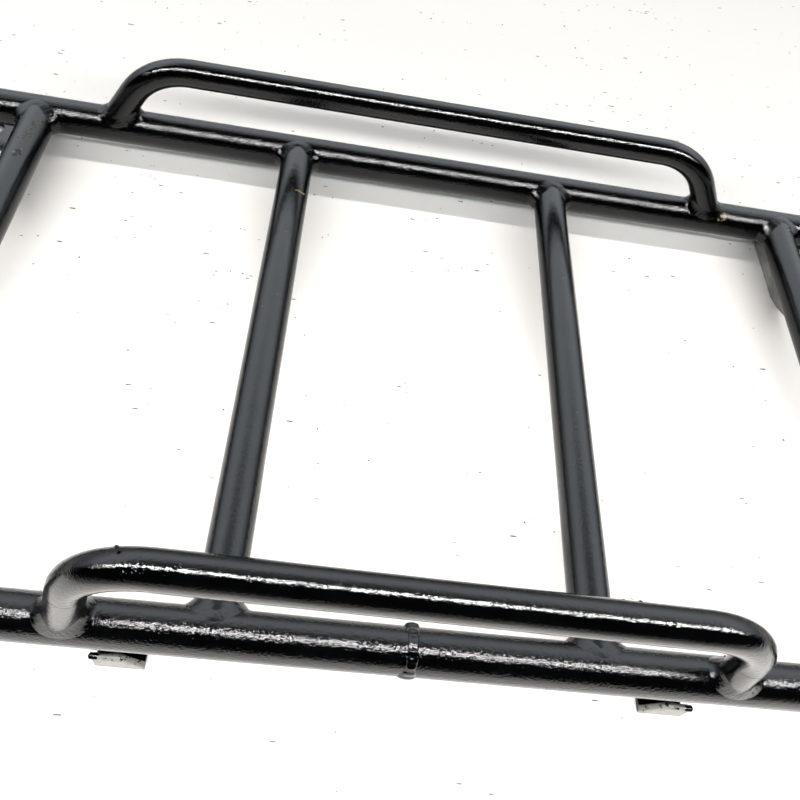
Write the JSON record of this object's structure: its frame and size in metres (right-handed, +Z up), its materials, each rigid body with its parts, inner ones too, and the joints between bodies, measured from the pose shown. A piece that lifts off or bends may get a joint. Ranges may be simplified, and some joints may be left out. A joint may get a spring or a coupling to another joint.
{
  "type": "folding luggage platform",
  "caption": "Black welded tube luggage platform with crossbars and a raised guard on each long side, hinged to angle brackets so that it folds up.",
  "frame": {"origin": "on the ground plane, in the middle of the overall box", "axes": "+X along the two long rails, +Y towards the hinges and brackets, +Z up from the ground through the platform"},
  "size_m": [0.7, 0.3564, 0.0968],
  "materials": {
    "black_gloss_paint": "gloss black paint with a fine orange peel",
    "painted_weld": "gloss black paint over a rippled weld bead",
    "zinc_plated_steel": "zinc plated, satin"
  },
  "bodies": {
    "platform": {"far_rail": "black_gloss_paint", "near_rail_left": "black_gloss_paint", "near_rail_right": "black_gloss_paint", "left_end_bow": "black_gloss_paint", "right_end_bow": "black_gloss_paint", "rail_butt_weld": "painted_weld", "left_outer_bar": "black_gloss_paint", "left_inner_bar": "black_gloss_paint", "right_inner_bar": "black_gloss_paint", "right_outer_bar": "black_gloss_paint", "far_guard_loop": "black_gloss_paint", "near_guard_loop": "black_gloss_paint", "left_foot_clip": "black_gloss_paint", "right_foot_clip": "black_gloss_paint", "left_hinge_lug": "black_gloss_paint", "right_hinge_lug": "black_gloss_paint", "left_stop_peg": "black_gloss_paint", "right_stop_peg": "black_gloss_paint", "left_pivot_bolt": "zinc_plated_steel", "right_pivot_bolt": "zinc_plated_steel", "left_inner_washer": "zinc_plated_steel", "right_inner_washer": "zinc_plated_steel", "left_outer_washer": "zinc_plated_steel", "right_outer_washer": "zinc_plated_steel", "left_pivot_nut": "zinc_plated_steel", "right_pivot_nut": "zinc_plated_steel"},
    "left_bracket": {"left_mount_bracket": "black_gloss_paint"},
    "right_bracket": {"right_mount_bracket": "black_gloss_paint"}
  },
  "joints": [
    {"name": "left_fold", "type": "hinge", "parent": "platform", "child": "left_bracket", "pos_m": [-0.254, 0.16717, 0.0125], "axis": [1, 0, 0], "range_deg": [0, 90]},
    {"name": "right_fold", "type": "hinge", "parent": "platform", "child": "right_bracket", "pos_m": [0.254, 0.16717, 0.0125], "axis": [1, 0, 0], "range_deg": [0, 90]}
  ],
  "couplings": [
    {"joint": "right_fold", "follows": "left_fold", "ratio": 1}
  ]
}
